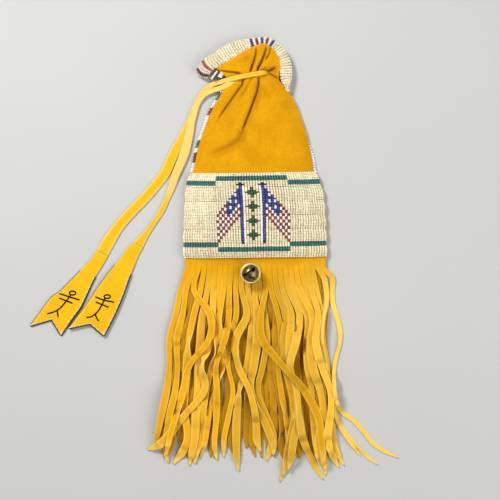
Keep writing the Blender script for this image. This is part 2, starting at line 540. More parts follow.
def build_hide():
    """Rings round the pouch from the bottom seam to the mouth: the top as in body_height, then a
    quarter-ellipse side (x = xl + tuck (1 - cos a), z = edge + (low - edge) sin a), and a flat underside."""
    cols, body_rows, mouth_rows, side = 200, 130, 52, 7
    s = np.linspace(-1.0, 1.0, cols + 1)
    rows = smooth_path(BODY_ROWS, body_rows)
    mouth = mouth_line(cols + 1)
    angle = np.linspace(0.0, np.pi / 2, side + 2)[1:-1]
    rings, worn = [], []
    for r in range(body_rows + mouth_rows):
        if r < body_rows:
            top, low, fold, sharp = pouch_row(rows[r], s)
        else:
            top, low, fold, sharp = mouth_row(rows[-1], mouth, (r - body_rows + 1) / mouth_rows, s)
        rings.append(np.vstack([top, hide_side(top[-1], low[-1], angle), low[::-1],
                                hide_side(top[0], low[0], angle)[::-1]]))
        dark = np.clip(0.95 * sharp ** 1.4 + 0.30 * np.clip(fold / 3.0, 0.0, 1.0), 0.0, 1.0)
        worn.append(np.concatenate([dark, np.zeros(cols + 1 + 2 * side)]))
    count = len(rings[0])
    quads, tris = ring_faces(len(rings), count, caps=False)
    j = np.arange(cols)
    ends = []
    for base, flip in ((0, False), ((len(rings) - 1) * count, True)):
        low0 = base + cols + 1 + side
        face = np.stack([base + j, base + j + 1, low0 + cols - j - 1, low0 + cols - j], axis=1)
        ends.append(face if flip else face[:, ::-1])
        for a, b, start in ((base + cols, low0, base + cols + 1), (low0 + cols, base, low0 + cols + 1)):
            loop = [a] + list(range(start, start + side)) + [b]
            fan = [(loop[0], loop[k], loop[k + 1]) for k in range(1, len(loop) - 1)]
            tris = list(tris) + [t[::-1] if flip else t for t in fan]
    quads = np.vstack([quads[:, ::-1]] + [e[:, ::-1] for e in ends])
    tint = np.zeros((len(rings) * count, 3))
    tint[:, 1] = PLAIN_TONE
    tint[:, 2] = np.concatenate(worn)
    return np.vstack(rings), quads, np.array(tris), tint


# Beads


def bead_template(segments):
    """A barrel with a hole: radius 1 and length 1, its axis along a."""
    profile = np.array([(0.36, -0.48), (0.78, -0.5), (0.96, -0.36), (1.0, -0.14), (1.0, 0.14),
                        (0.96, 0.36), (0.78, 0.5), (0.36, 0.48)])
    angle = np.linspace(0.0, 2 * np.pi, segments, endpoint=False)
    k = len(profile)
    rho = np.repeat(profile[:, 0], segments)
    along = np.repeat(profile[:, 1], segments)
    c, s = np.tile(np.cos(angle), k), np.tile(np.sin(angle), k)
    i = np.arange(k)[:, None]
    j = np.arange(segments)[None, :]
    n = (i + 1) % k
    quads = np.stack([i * segments + j, n * segments + j, n * segments + (j + 1) % segments,
                      i * segments + (j + 1) % segments], axis=-1).reshape(-1, 4)
    return rho * c, rho * s, along, quads


def place_beads(name, centre, axis, up, size, colour, mat, segments=9):
    """One mesh of n beads of size (radius, length): each point is centre + r (u cos + v sin) rho + l a
    along the bead's own frame."""
    n = len(centre)
    uu, vv, aa, quads = bead_template(segments)
    axis = unit(axis)
    side = unit(np.cross(axis, up))
    lift = np.cross(side, axis)
    radius = np.broadcast_to(size[0], n) * (1.0 + jitter(0.035, n))
    length = np.broadcast_to(size[1], n) * (1.0 + jitter(0.03, n))
    turn = jitter(0.05, (n, 1))
    axis = unit(axis + side * turn)
    verts = (centre[:, None, :]
             + side[:, None, :] * (uu[None, :, None] * radius[:, None, None])
             + lift[:, None, :] * (vv[None, :, None] * radius[:, None, None])
             + axis[:, None, :] * (aa[None, :, None] * length[:, None, None]))
    tone = 1.0 + jitter(0.05, (n, 1))
    warm = 1.0 + jitter(0.02, (n, 3))
    rgb = np.clip(colour * tone * warm, 0.0, 1.0)
    k = len(uu)
    all_quads = (quads[None] + (np.arange(n) * k)[:, None, None]).reshape(-1, 4)
    return mesh_object(name, verts.reshape(-1, 3), all_quads, (), (mat,), np.repeat(rgb, k, axis=0))


COLOUR = {
    "cream": (0.86, 0.78, 0.54), "white": (0.94, 0.93, 0.86), "teal": (0.036, 0.165, 0.150),
    "blue": (0.032, 0.052, 0.25), "red": (0.27, 0.030, 0.014), "green": (0.025, 0.105, 0.042),
    "dark": (0.028, 0.018, 0.010), "navy": (0.010, 0.013, 0.030), "maroon": (0.10, 0.008, 0.007),
    "rust": (0.33, 0.045, 0.030), "pink": (0.78, 0.66, 0.60), "bottle": (0.020, 0.045, 0.015),
    "brick": (0.30, 0.042, 0.012),
}
CROSS = ["..#..", "..#..", ".###.", "#####", ".###.", "..#..", "..#.."]


# Plain bars of the panel's pattern: colour, first and last row, and first and last column counted
# from the middle one. Teal bars, then each pole's finial and foot, its blue line and its white one
PANEL_BARS = [
    ("teal", 3, 5, 0, 13), ("teal", 6, 8, 14, 27), ("teal", 45, 47, 14, 27), ("teal", 48, 50, 0, 13),
    ("dark", 7, 7, 4, 4), ("dark", 8, 8, 3, 5), ("dark", 44, 45, 4, 4),
    ("blue", 9, 43, 4, 4), ("white", 9, 45, 3, 3),
]
MIDDLE_COLUMN = 28
POLE = 4                      # columns from the middle to each flag's pole
CROSS_HALF = 2
CROSS_FROM, CROSS_LAST = 10, 45
FLAG_TOP = 9
FLAG_DROP = 2                 # rows that a flag falls with each column from its pole
FLAG_LENGTH, FLAG_ROWS = 9, 18
STRIPE_ROWS = 2
CANTON_LENGTH, CANTON_ROWS = 5, 10
STARS = ((2, 4), (1, 2, 5, 6))                    # columns and rows of the canton's white beads


def panel_colour(col, row):
    """Colour name of the bead in column 1 to 55 and row 1 to 54 of the front panel: teal bars at its
    top and bottom, two flags on poles and, between the poles, one cross in each lane."""
    u = abs(col - MIDDLE_COLUMN)
    for name, top, bottom, inner, outer in PANEL_BARS:
        if top <= row <= bottom and inner <= u <= outer:
            return name
    if u <= CROSS_HALF and CROSS_FROM <= row <= CROSS_LAST:
        lane_row = (row - 1) % ROWS
        marked = lane_row < len(CROSS) and CROSS[lane_row][col - MIDDLE_COLUMN + CROSS_HALF] == "#"
        return "green" if marked else "cream"
    along = u - POLE
    down = row - (FLAG_TOP + FLAG_DROP * along)
    if 1 <= along <= CANTON_LENGTH and 0 <= down < CANTON_ROWS:
        return "white" if along in STARS[0] and down in STARS[1] else "blue"
    if 1 <= along <= FLAG_LENGTH and 0 <= down < FLAG_ROWS:
        return "red" if (down // STRIPE_ROWS) % 2 == 0 else "white"
    return "cream"


def lane_beads(index, mat):
    """Strings of nine beads that arch over one lane: z = hide + seat + arch sin(pi t)^0.8."""
    col, row = np.meshgrid(np.arange(COLUMNS), np.arange(ROWS))
    col, row = col.ravel(), row.ravel()
    t = (row + 0.5) / ROWS
    y_top = PANEL_TOP - index * LANE_PITCH - LANE_GAP / 2
    y = y_top - t * (LANE_PITCH - LANE_GAP)
    xl, xr = edges_at(y)
    scallop = PANEL_OVERHANG - 0.3 + 0.8 * np.sin(np.pi * t)
    xl, xr = xl - scallop - 0.4, xr + scallop
    u = (col + 0.5) / COLUMNS
    down = (PANEL_TOP - y) / (LANES * LANE_PITCH)
    spread = u + 0.17 * (1.0 - down) * np.sin(2 * np.pi * (u - 0.5)) / (2 * np.pi)
    x = xl + (xr - xl) * spread + 4.0 * u * (1.0 - u) * (1.5 * down - 2.1)
    drift = np.interp(np.arange(COLUMNS), np.arange(0, COLUMNS, 6), 0.10 * RNG.standard_normal(10))[col]
    y = y + ROW_RISE * x + 1.1 * (2.0 * u - 1.0) ** 4 * (1.0 - down) + drift

    def height(tt, yy):
        inner = np.clip(x, xl + 1.2, xr - 1.2)
        fall = 0.35 * np.clip(np.abs(x - inner), 0.0, 2.0) ** 1.5
        arch = LANE_ARCH * np.sin(np.pi * tt) ** 0.8
        return body_height(inner, np.clip(yy, -36.0, 60.0)) + BEAD_SEAT + arch - fall

    z = height(t, y)
    step = 0.5 / ROWS
    ahead = height(np.clip(t + step, 0.0, 1.0), y - step * LANE_PITCH)
    behind = height(np.clip(t - step, 0.0, 1.0), y + step * LANE_PITCH)
    tilt = (ahead - behind) / (2 * step * LANE_PITCH)
    lean = 1.3 / (LANES * LANE_PITCH) * 4.0 * u * (1.0 - u)
    axis = np.stack([lean, -np.ones_like(tilt), tilt], axis=1)
    centre = np.stack([x, y, z], axis=1) + jitter(0.03, (len(x), 3))
    names = [panel_colour(int(c) + 1, index * ROWS + int(r) + 1) for c, r in zip(col, row)]
    rgb = np.array([COLOUR[n] for n in names])
    column_tone = (1.0 + 0.05 * RNG.standard_normal(COLUMNS))[col][:, None]
    return place_beads("lane_beads_%d" % (index + 1), centre, axis, upward(len(x)),
                       (BEAD_RADIUS, BEAD_LENGTH), rgb * column_tone, mat)


def band_frames():
    """Places of the strings round the whole rim: along the front, round the right end, back along
    the rear and round the left end. Each is a point, an across direction, an outward one and a half-width."""
    line = smooth_path(MOUTH_BAND, LINE_STEPS)
    count = int(round(run_length(line[:, :2])[-1] / STRING_PITCH)) + 1
    front = smooth_path(MOUTH_BAND, count)
    tang, aside = line_frame(front[:, :2])
    flat = np.column_stack([aside, np.zeros(count)])
    up = upward(count)
    base = np.column_stack([front[:, :2], np.full(count, RIM_TOP)])
    low = np.column_stack([front[:, :2], np.full(count, RIM_LOW)])
    t3 = np.column_stack([tang, np.zeros(count)])

    def end(i, sign, angles):
        pts, ups = [], []
        for deg in angles:
            c, s = on_circle(1.0, deg)
            pts.append(np.array((front[i, 0], front[i, 1], RIM_MIDDLE + RIM_TURN * c))
                       + sign * RIM_TURN * s * t3[i])
            ups.append(sign * s * t3[i] + np.array((0.0, 0.0, c)))
        return np.array(pts), np.array(ups)

    right_p, right_u = end(-1, 1.0, (45, 90, 135))
    left_p, left_u = end(0, -1.0, (135, 90, 45))
    points = np.vstack([base, right_p, low[::-1], left_p])
    across = np.vstack([flat, np.tile(flat[-1], (3, 1)), flat[::-1], np.tile(flat[0], (3, 1))])
    ups = np.vstack([up, right_u, -up, left_u])
    half = np.concatenate([front[:, 2], np.full(3, front[-1, 2]), front[::-1, 2], np.full(3, front[0, 2])])
    along = np.vstack([t3, np.tile(t3[-1], (3, 1)), t3[::-1], np.tile(t3[0], (3, 1))])
    return points, across, ups, half, along, count


def string_over(half, rise, start, stop, pitch):
    """Even places on the arc (-A cos a, B sin a), for a from start to stop degrees."""
    a = np.radians(np.linspace(start, stop, 160))
    arc = np.stack([-half * np.cos(a), rise * np.sin(a)], axis=1)
    length = run_length(arc)
    count = max(3, int(round(length[-1] / pitch)))
    want = (np.arange(count) + 0.5) * length[-1] / count
    spot = np.stack([np.interp(want, length, arc[:, k]) for k in (0, 1)], axis=1)
    tang = np.stack([np.interp(want, length, np.gradient(arc[:, k])) for k in (0, 1)], axis=1)
    return spot, unit(tang)


def rim_colours(stripe):
    """Colour names of the strings that aren't cream: the striped stretch, and the band's left end."""
    names = {0: "maroon", 1: "pink", 2: "pink", 3: "rust"}
    for step, name in enumerate(("blue", "white", "red", "white", "blue", "white", "red", "white", "blue")):
        names[stripe + step - 4] = name
    return names


def mouth_beads(mat, core_mat):
    """The beads of the mouth's band, and the thread that shows between them."""
    points, across, ups, half, along, front_count = band_frames()
    stripe = int(np.argmin(np.hypot(*(points[:front_count, :2] - px(STRIPE_PIXEL)[0]).T)))
    names = rim_colours(stripe)
    centres, axes, lifts, colours = [], [], [], []
    for i in range(len(points)):
        on_front = i < front_count
        spot, tang = string_over(half[i] - 0.95, 1.3, -14.0, 194.0, BEAD_PITCH)
        place = points[i] + spot[:, :1] * across[i] + spot[:, 1:] * ups[i]
        place[:, 2] = np.maximum(place[:, 2], 1.06)
        if on_front:
            bow = 2.8 * max(0.0, 1.0 - i / 9.0) * (1.0 - (spot[:, 0] / half[i]) ** 2)
            place -= along[i] * bow[:, None]
            place += along[i] * (0.35 * (np.abs(spot[:, :1]) / half[i]) ** 2) * math.sin(i * 1.7)
        second = on_front and 5 <= i < stripe - 5
        if second:
            inner = spot[:, 0] < -half[i] + 4.6
            place[inner] += along[i] * (0.7 + jitter(0.15, (inner.sum(), 1)))
            place[inner, 2] -= 0.15
        name = names.get(i, "cream") if on_front else ("pink" if i >= len(points) - 3 else "cream")
        centres.append(place)
        axes.append(tang[:, :1] * across[i] + tang[:, 1:] * ups[i])
        lifts.append(spot[:, :1] / half[i] * across[i] + np.maximum(spot[:, 1:], 0.2) * ups[i])
        tone = 1.0 + 0.05 * RNG.standard_normal()
        colours.append(np.tile(np.array(COLOUR[name]) * tone, (len(place), 1)))
    beads = place_beads("mouth_beads", np.vstack(centres), np.vstack(axes), unit(np.vstack(lifts)), RIM_BEAD,
                        np.vstack(colours), mat)
    a = np.radians(np.arange(0, 360, 20))
    ring = (points[:, None, :] + across[:, None, :] * ((half[:, None] - 0.8) * np.cos(a)[None])[:, :, None]
            + ups[:, None, :] * (1.2 * np.sin(a))[None, :, None])
    quads, _ = ring_faces(len(points), len(a), closed=True)
    core = mesh_object("mouth_lining", ring.reshape(-1, 3), quads, (), (core_mat,))
    return beads, core


def strip_beads(name, side, y_from, y_to, colours_at, mat):
    """Short strings that lap the side seam, from under the fold to past the hide's edge. The right
    side's strings grow towards the panel."""
    count = int(round((y_from - y_to) / STRIP_PITCH))
    pitch = BEAD_PITCH
    sign = -1.0 if side == LEFT else 1.0
    centres, axes, colours = [], [], []
    for i in range(count):
        y = y_from - (i + 0.5) * (y_from - y_to) / count
        outward = np.array((sign, -0.30, 0.0))
        outward /= np.linalg.norm(outward)
        reach = 2.7 if side == LEFT else 0.3 + 2.4 * ramp(-y, -64.0, 12.0)
        beads = 5 if side == LEFT else max(2, int(round((reach + 2.6) / pitch)))
        z = STRIP_SEAT + float(neck_lift(y)) + STRIP_ARCH * np.sin(np.pi * (np.arange(beads) + 0.6) / beads)
        steps = reach - 0.55 - pitch * np.arange(beads)
        place = np.array((float(edges_at(y)[side]), y, 0.0)) + outward * steps[:, None]
        place[:, 2] = z
        centres.append(place)
        axes.append(np.column_stack([np.tile(outward[:2] * pitch, (beads, 1)), -np.gradient(z)]))
        tone = 1 + 0.05 * RNG.standard_normal()
        colours.append(np.tile(np.array(COLOUR[colours_at(y)]) * tone, (beads, 1)))
    return place_beads(name, np.vstack(centres), np.vstack(axes), upward(sum(map(len, centres))), STRIP_BEAD,
                       np.vstack(colours), mat)


def left_strip_colour(y):
    for low, high, name in LEFT_STRIP_BANDS:
        if low <= y <= high:
            return name
    return "white"


def neck_beads(mat):
    """The end of the side beadwork that shows between the mouth's band and the thong."""
    table = {"w": "white", "g": "bottle", "p": "pink"}
    centres, axes, colours = [], [], []
    for first, last, letters in NECK_STRINGS:
        ends = px(first, last)
        n = len(letters)
        t = (np.arange(n)[:, None] + 0.5) / n
        centres.append(np.column_stack([ends[0] + (ends[1] - ends[0]) * t, 7.0 - 2.0 * t[:, 0] ** 2]))
        axes.append(np.tile(np.append(ends[1] - ends[0], -2.0), (n, 1)))
        colours.append([COLOUR[table[c]] for c in letters])
    return place_beads("neck_beads", np.vstack(centres), np.vstack(axes), upward(sum(map(len, centres))),
                       NECK_BEAD, np.vstack(colours), mat)


# Straps and strands

# Cross-section of a strap as shares of its half-width and half-thickness, how pale each of its points
# is, and how far it faces up
STRAP_RING = np.array([(-1.0, -0.45), (-1.0, 0.45), (-0.90, 1.0), (-0.62, 1.0), (0.0, 1.0), (0.62, 1.0),
                       (0.90, 1.0), (1.0, 0.45), (1.0, -0.45), (0.86, -1.0), (0.0, -1.0), (-0.86, -1.0)])
STRAP_EDGE = np.array([0.3, 0.6, 0.60, 0.06, 0.0, 0.06, 0.60, 0.6, 0.3, 0.3, 0.0, 0.3])
STRAP_TOP = np.array([0.0, 0.3, 1.0, 1.0, 1.0, 1.0, 1.0, 0.3, 0.0, 0.0, 0.0, 0.0])


def strap_mesh(points, across, normal, half_width, half_thickness, cup):
    """Carry STRAP_RING along a line; cup lifts its edges by cup * a2."""
    a, b = STRAP_RING[:, 0], STRAP_RING[:, 1]
    verts = (points[:, None, :] + across[:, None, :] * (half_width[:, None] * a[None])[:, :, None]
             + normal[:, None, :] * (half_thickness * b[None] + cup[:, None] * (a ** 2)[None])[:, :, None])
    quads, tris = ring_faces(len(points), len(a))
    return verts.reshape(-1, 3), quads[:, ::-1], tris[:, ::-1]


def slab(top, thickness):
    """A closed sheet from a grid of top points (rows, columns, 3)."""
    r, c, _ = top.shape
    flat = top.reshape(-1, 3)
    verts = np.vstack([flat, flat - np.array((0.0, 0.0, thickness))])
    i, j = np.meshgrid(np.arange(r - 1), np.arange(c - 1), indexing="ij")
    a = (i * c + j).ravel()
    quads = np.stack([a, a + 1, a + c + 1, a + c], axis=1)
    edge = np.concatenate([np.arange(c), np.arange(1, r) * c + c - 1,
                           (r - 1) * c + np.arange(c - 2, -1, -1), np.arange(r - 2, 0, -1) * c])
    nxt = np.roll(edge, -1)
    n = r * c
    walls = np.stack([edge, edge + n, nxt + n, nxt], axis=1)
    return verts, np.vstack([quads[:, ::-1], quads + n, walls[:, ::-1]]), edge


def strand_lines():
    """Centre lines of both fringe layers, in millimetres, from the header down."""
    left, right = OUTLINE[0, 1], OUTLINE[0, 2]
    pitch = (right - left) / STRANDS
    front = [np.array(list(zip(xs, FRINGE_LEVELS)) + [tip], float) for xs, tip in FRONT_STRANDS]
    front += [np.array(points, float) for points in OUTER_STRANDS]
    back = []
    for i in range(STRANDS):
        u = (i + 0.5) / STRANDS
        xs = [lo + (hi - lo) * u + (2.0 * math.sin(0.2 * i - 0.028 * lv) if k else 0.0)
              for k, (lo, hi, lv) in enumerate(zip(BACK_LEFT, BACK_RIGHT, FRINGE_LEVELS))]
        tip = (xs[-1] + 2.0 * math.sin(2.0 * i), FRINGE_LEVELS[-1] - 6.0 - 11.0 * abs(math.sin(2.1 * i)))
        back.append(np.array(list(zip(xs, FRINGE_LEVELS)) + [tip], float))
    for layer in (front, back):
        for i, path in enumerate(layer):
            share = SHARED_STRAND if i == STRANDS else i
            path[0] = (left + (share + 0.5) * pitch, BODY_ROWS[0][0] - GAP - HEADER_HEIGHT)
            layer[i] = np.vstack([path[0] + np.array((0.0, HEADER_HEIGHT - 0.5)), path])
    return front, back, left, right


def height_needed(line, width, samples, own):
    """Height that a strand needs over the laid ones at each of its points. Near the header, those of
    its own layer don't count."""
    if not len(samples):
        return np.full(len(line), GAP)
    dist = np.hypot(line[:, None, 0] - samples[None, :, 0], line[:, None, 1] - samples[None, :, 1])
    near = dist < (width[:, None] + samples[None, :, 3]) / 2 * 0.90
    near[:12, own:] = False
    top = np.where(near, samples[None, :, 2], 0.0).max(axis=1)
    return np.maximum(np.full(len(line), GAP), top + np.where(top > 0.0, STRAND_CLEAR, 0.0))


def settle(need, step):
    """The needed height, spread both ways along the strand and then smoothed."""
    reach = max(1, int(round(SETTLE_REACH / step)))
    wide = np.array([need[max(0, i - reach):i + reach + 1].max() for i in range(len(need))])
    kernel = np.exp(-np.linspace(-1.6, 1.6, 2 * reach + 1) ** 2)
    z = np.convolve(np.pad(wide, reach, mode="edge"), kernel / kernel.sum(), mode="valid")
    return np.maximum(z, need)


def wave(t, low, high):
    """A sine along a strand, with a random pitch and start."""
    return np.sin(t * RNG.uniform(low, high) + RNG.uniform(0, 6.28))


def either_way():
    return 1.0 if RNG.random() < 0.5 else -1.0


def lay_strand(index, path, pitch, samples, own, start_z):
    """One strand as it lies: its line, height, width and roll, and its samples for those laid later.
    It starts as wide as its share of the header, wanders by up to 1 mm, and may turn on edge."""
    t = np.linspace(0.0, 1.0, STRAND_STEPS)
    line = smooth_path(path, STRAND_STEPS)
    swell = ramp(t, RNG.uniform(0.06, 0.12), 0.30)
    swell = swell * swell * (3 - 2 * swell)
    aside = line_frame(line)[1]
    wander = RNG.uniform(*WANDER) * wave(t, 6, 15)
    line = line + aside * (wander * swell)[:, None]
    full = RNG.uniform(*FREE_WIDTH) * STRAND_WIDTHS.get(index, 1.0)
    width = (pitch - 0.04) * (1.0 - swell) + full * swell
    width *= 1.0 + 0.14 * wave(t, 9, 18) * swell
    cut = ramp(t, TIP_FROM, 0.07) ** 1.3
    lean = either_way() * width * 0.30 * cut
    width *= 1.0 - 0.80 * cut
    line = line + aside * lean[:, None]
    roll = np.radians(RNG.uniform(*CURL)) * swell * wave(t, 7, 14)
    for _ in range(RNG.integers(0, 3)):
        turn = np.radians(RNG.uniform(*TURN)) * either_way()
        roll += turn * np.exp(-((t - RNG.uniform(*TURN_AT)) / RNG.uniform(*TURN_REACH)) ** 2)
    rise = np.abs(np.sin(roll)) * width / 2
    step = np.linalg.norm(np.diff(line, axis=0), axis=1).mean()
    z = settle(height_needed(line, width, samples, own), step) + rise
    lifted = ramp(t, 0.05, 0.08)
    z = (start_z + RNG.uniform(-0.10, 0.10)) * (1.0 - lifted) + z * lifted
    flat = width * np.abs(np.cos(roll))
    return (index, line, z, width, roll), np.column_stack([line, z + FRINGE_THICK + rise, flat])


def lay_fringe():
    """Lay each strand in turn on the floor or on those that it crosses, the back layer first."""
    front, back, left, right = strand_lines()
    samples = np.zeros((0, 4))
    laid = {"front": [], "back": []}
    for layer, paths in (("back", back), ("front", front)):
        start_z = GAP if layer == "back" else FRONT_HEADER_Z
        own = len(samples)
        order = [i for k in range(3) for i in range(k, len(paths), 3)]
        if layer == "front":
            order = [i for i in order if i not in ON_TOP] + ON_TOP
        for index in order:
            strand, tops = lay_strand(index, paths[index], (right - left) / STRANDS, samples, own, start_z)
            laid[layer].append(strand)
            samples = np.vstack([samples, tops])
    return laid, left, right


def header_sheet(layer, left, right):
    """The strip that the strands hang from. The front one's sewn edge turns up to the pouch."""
    head_z = (GAP if layer == "back" else FRONT_HEADER_Z) + FRINGE_THICK
    y_top, y_low = BODY_ROWS[0][0] - GAP, BODY_ROWS[0][0] - GAP - HEADER_HEIGHT
    if layer == "front":
        y_top += FRONT_HEADER_UP
    x = np.linspace(left + 0.1, right - 0.1, STRANDS * 8)
    gx, gy = np.meshgrid(x, np.linspace(y_top, y_low, 9))
    pleat = 0.06 * np.sin(gx / 2.3 + 1.7 * np.sin(gx / 9.0))
    seam = body_height(gx, np.full_like(gx, BODY_ROWS[0][0])) + 0.35 - head_z
    lip = np.clip(seam, 0.0, 3.0) * np.exp((gy - y_top) / 2.6) * (layer == "front")
    top = np.stack([gx, gy, head_z - HEADER_THIN + pleat + lip], axis=-1)
    verts, quads, _ = slab(top, FRINGE_THICK - HEADER_THIN)
    tint = np.zeros((len(verts), 3))
    tint[:, 1] = PLAIN_TONE
    tint[:gx.size, 2] = 0.10
    return verts, quads, tint


def strand_tint(layer, index, line, roll):
    """Pale cut edges and tips, pale outer strands, each strand's own tone, and a darker back layer."""
    spread = np.linspace(0.0, 1.0, len(line))
    tint = np.zeros((len(line), len(STRAP_EDGE), 3))
    pale = 0.08 + 0.10 * math.sin(index * 5.3)
    if layer == "front":
        pale += 0.26 * float(ramp(line[20, 0], 25.0, 30.0)) + (0.35 if index >= SHARED_STRAND else 0.0)
    turned = ramp(np.abs(np.sin(roll)), 0.45, 0.4)
    own = np.clip(pale * np.clip(spread * 5.0, 0.0, 1.0) + 0.5 * turned, 0.0, 1.0)
    own = np.maximum(own, 0.75 * ramp(spread, 0.90, 0.08))
    edges = STRAP_EDGE[None, :] * np.clip(spread * 8.0 - 0.4, 0.0, 1.0)[:, None]
    tint[:, :, 0] = 1.0 - (1.0 - edges) * (1.0 - own[:, None])
    tone = 0.26 * math.sin(index * 12.9 + (1.3 if layer == "back" else 0.0))
    tone = PLAIN_TONE + tone * np.clip(spread * 6.0, 0.0, 1.0)
    tint[:, :, 1] = np.clip(tone + 0.14 * np.sin(7.0 * spread + index), 0.0, 1.0)[:, None]
    if layer == "back":
        tint[:, :, 2] = 0.48 * STRAP_TOP[None, :]
        tint[:, :, 0] *= 0.3
    return tint.reshape(-1, 3)


def build_fringe(layer, strands, left, right, mat):
    """One slit sheet of hide: a header strip and its strands. Returns it and its flat area in mm2."""
    verts, quads, tint = header_sheet(layer, left, right)
    all_v, all_q, all_t, all_c = [verts], [quads], [], [tint]
    start = len(verts)
    area = (right - left) * HEADER_HEIGHT
    for index, line, z, width, roll in strands:
        tang, aside = line_frame(line)
        across = np.column_stack([aside * np.cos(roll)[:, None], np.sin(roll)])
        normal = np.cross(np.column_stack([tang, np.zeros(len(tang))]), across)
        pts = np.column_stack([line, z + FRINGE_THICK / 2])
        cup = 0.30 * math.sin(index * 2.3 + 1.0) * np.clip(np.linspace(-0.2, 2.0, len(line)), 0.0, 1.0)
        v, q, tr = strap_mesh(pts, across, normal, width / 2, FRINGE_THICK / 2, cup)
        all_v.append(v)
        all_q.append(q + start)
        all_t.append(tr + start)
        all_c.append(strand_tint(layer, index, line, roll))
        start += len(v)
        area += float((np.diff(run_length(line)) * (width[1:] + width[:-1]) / 2).sum())
    obj = mesh_object("fringe_%s_hide" % layer, np.vstack(all_v), np.vstack(all_q), np.vstack(all_t), (mat,),
                      np.vstack(all_c))
    return obj, area


def thong_paths(tree):
    """Both halves of the drawstring from the slit in the neck to the ends of the tabs, as X, Y, Z and
    width, each with the number of its points before TAIL_ONE or TAIL_TWO."""
    over = []
    for (x, y, width), drop in zip(NECK_CROSSING, NECK_DROP):
        y -= drop
        high = max(height_over(tree, x + dx, y + dy) for dx in (-2.0, 0.0, 2.0) for dy in (-1.8, 0.0, 1.8))
        over.append((x, y, high + THONG_CLEAR + THONG_HALF, width * CROSSING_SHARE))
    sx, sy = SLIT_CENTRE[0], SLIT_CENTRE[1] - NECK_DROP[0]
    width, high = NECK_CROSSING[0][2], over[0][2]
    one = [(sx + 1.2, sy - 0.2, high - 4.2, width * 0.5), (sx - 0.6, sy - 0.1, high - 1.9, width * 0.7)]
    one += over
    two = [(sx, sy, high - 3.0, width * 0.5)] + [(x, y, z - 1.7, w * 0.6) for x, y, z, w in over[:3]]
    two += [(x, y, height_over(tree, x, y) + z, w) for x, y, w, z in NECK_BRANCH] + BRANCH_FALL
    leads = len(one), len(two)
    one += [(x, y, z + THONG_HALF, w) for x, y, w, z in TAIL_ONE]
    two += [(x, y, z + THONG_HALF, w) for x, y, w, z in TAIL_TWO]
    return np.array(one), np.array(two), leads


def strap_frames(line):
    """Across and normal directions of a flat strap that turns up out of a slit."""
    tang = unit(np.gradient(line[:, :3], axis=0))
    across = np.cross(np.tile((0.0, 0.0, 1.0), (len(line), 1)), tang)
    steep = np.clip(1.0 - np.linalg.norm(across, axis=1, keepdims=True) / 0.6, 0.0, 1.0)
    across = unit(across * (1.0 - steep) + np.array((0.0, -1.0, 0.0)) * steep)
    normal = unit(np.cross(tang, across))
    return across, normal


def run_tint(count, pale):
    """Pale cut edges, rubbed near the neck, with a pale stretch between two shares of the run."""
    tint = np.zeros((count * len(STRAP_EDGE), 3))
    spread = np.linspace(0.0, 1.0, count)
    near_neck = 0.50 * np.clip(1.0 - (spread - 0.30) / 0.25, 0.0, 1.0) * ramp(spread, 0.09, 0.08)
    side = ramp(spread, pale[0], 0.03) * np.clip((pale[1] - spread) / 0.05, 0.0, 1.0)
    tint[:, 0] = np.maximum(np.tile(STRAP_EDGE, count), np.repeat(near_neck, len(STRAP_EDGE)))
    tint[:, 1] = PLAIN_TONE
    tint[:, 2] = np.repeat(side, len(STRAP_EDGE))
    return tint


def tab_grid(line, first_across, corners):
    """Top points of a tab: across its widening line, and then to its swallow-tailed end."""
    wide = smooth_path(line, 46)
    across, _ = strap_frames(wide)
    across[0] = first_across
    a = wide[:, :3] + across * wide[:, 3:] / 2
    b = wide[:, :3] - across * wide[:, 3:] / 2
    corner = np.array(corners[0])
    if np.hypot(*(a[-1, :2] - corner)) > np.hypot(*(b[-1, :2] - corner)):
        a, b = b, a
    u = np.linspace(0.0, 1.0, 25)
    grid = a[:, None, :] + (b - a)[:, None, :] * u[None, :, None]
    end = np.array([np.interp(u, (0.0, 0.5, 1.0), [c[k] for c in corners]) for k in (0, 1)]).T
    last = grid[-1]
    tail = np.stack([last + np.column_stack([(end - last[:, :2]) * e, np.zeros(len(u))])
                     for e in np.linspace(0.0, 1.0, 16)[1:]])
    grid = np.concatenate([grid, tail])
    grid[:, :, 2] += THONG_HALF + 0.10 * np.sin(grid[:, :, 0] / 5.0) * np.sin(grid[:, :, 1] / 6.0)
    return grid


def tab_tint(grid, count, edge, corners):
    """Pale rims and cream tips."""
    rows, cols = grid.shape[:2]
    rim = np.tile(np.minimum(np.arange(cols), np.arange(cols)[::-1]), rows)
    cream = np.zeros(len(rim))
    for corner in (corners[0], corners[2]):
        away = np.hypot(grid[:, :, 0] - corner[0], grid[:, :, 1] - corner[1]).ravel()
        cream = np.maximum(cream, np.exp(-(away / 2.5) ** 4))
    tint = np.zeros((count, 3))
    tint[:, 1] = PLAIN_TONE
    tint[:len(rim), 0] = np.where(rim < 1, 0.75, np.where(rim < 2, 0.25, 0.0))
    tint[:len(rim), 2] = cream
    tint[edge, 0] = 0.75
    return tint


def build_tail(name, line, tab_from, corners, pale, mats):
    """The narrow run of one tail, and its tab. Returns both, the tab's outline and the run's line."""
    fine = smooth_path(line[:tab_from + 1], 110)
    across, normal = strap_frames(fine)
    cup = 0.18 * np.sin(np.linspace(0, 9, len(fine)))
    verts, quads, tris = strap_mesh(fine[:, :3], across, normal, fine[:, 3] / 2, THONG_HALF, cup)
    strap = mesh_object(name, verts, quads, tris, (mats[0],), run_tint(len(fine), pale))
    grid = tab_grid(line[tab_from:], across[-1], corners)
    verts, quads, edge = slab(grid, 2 * THONG_HALF)
    tab = mesh_object(name + "_tab", verts, quads, (), (mats[1],), tab_tint(grid, len(verts), edge, corners))
    outline = np.vstack([grid[:, 0], grid[-1, 1:-1], grid[::-1, -1]])
    return strap, tab, outline, fine


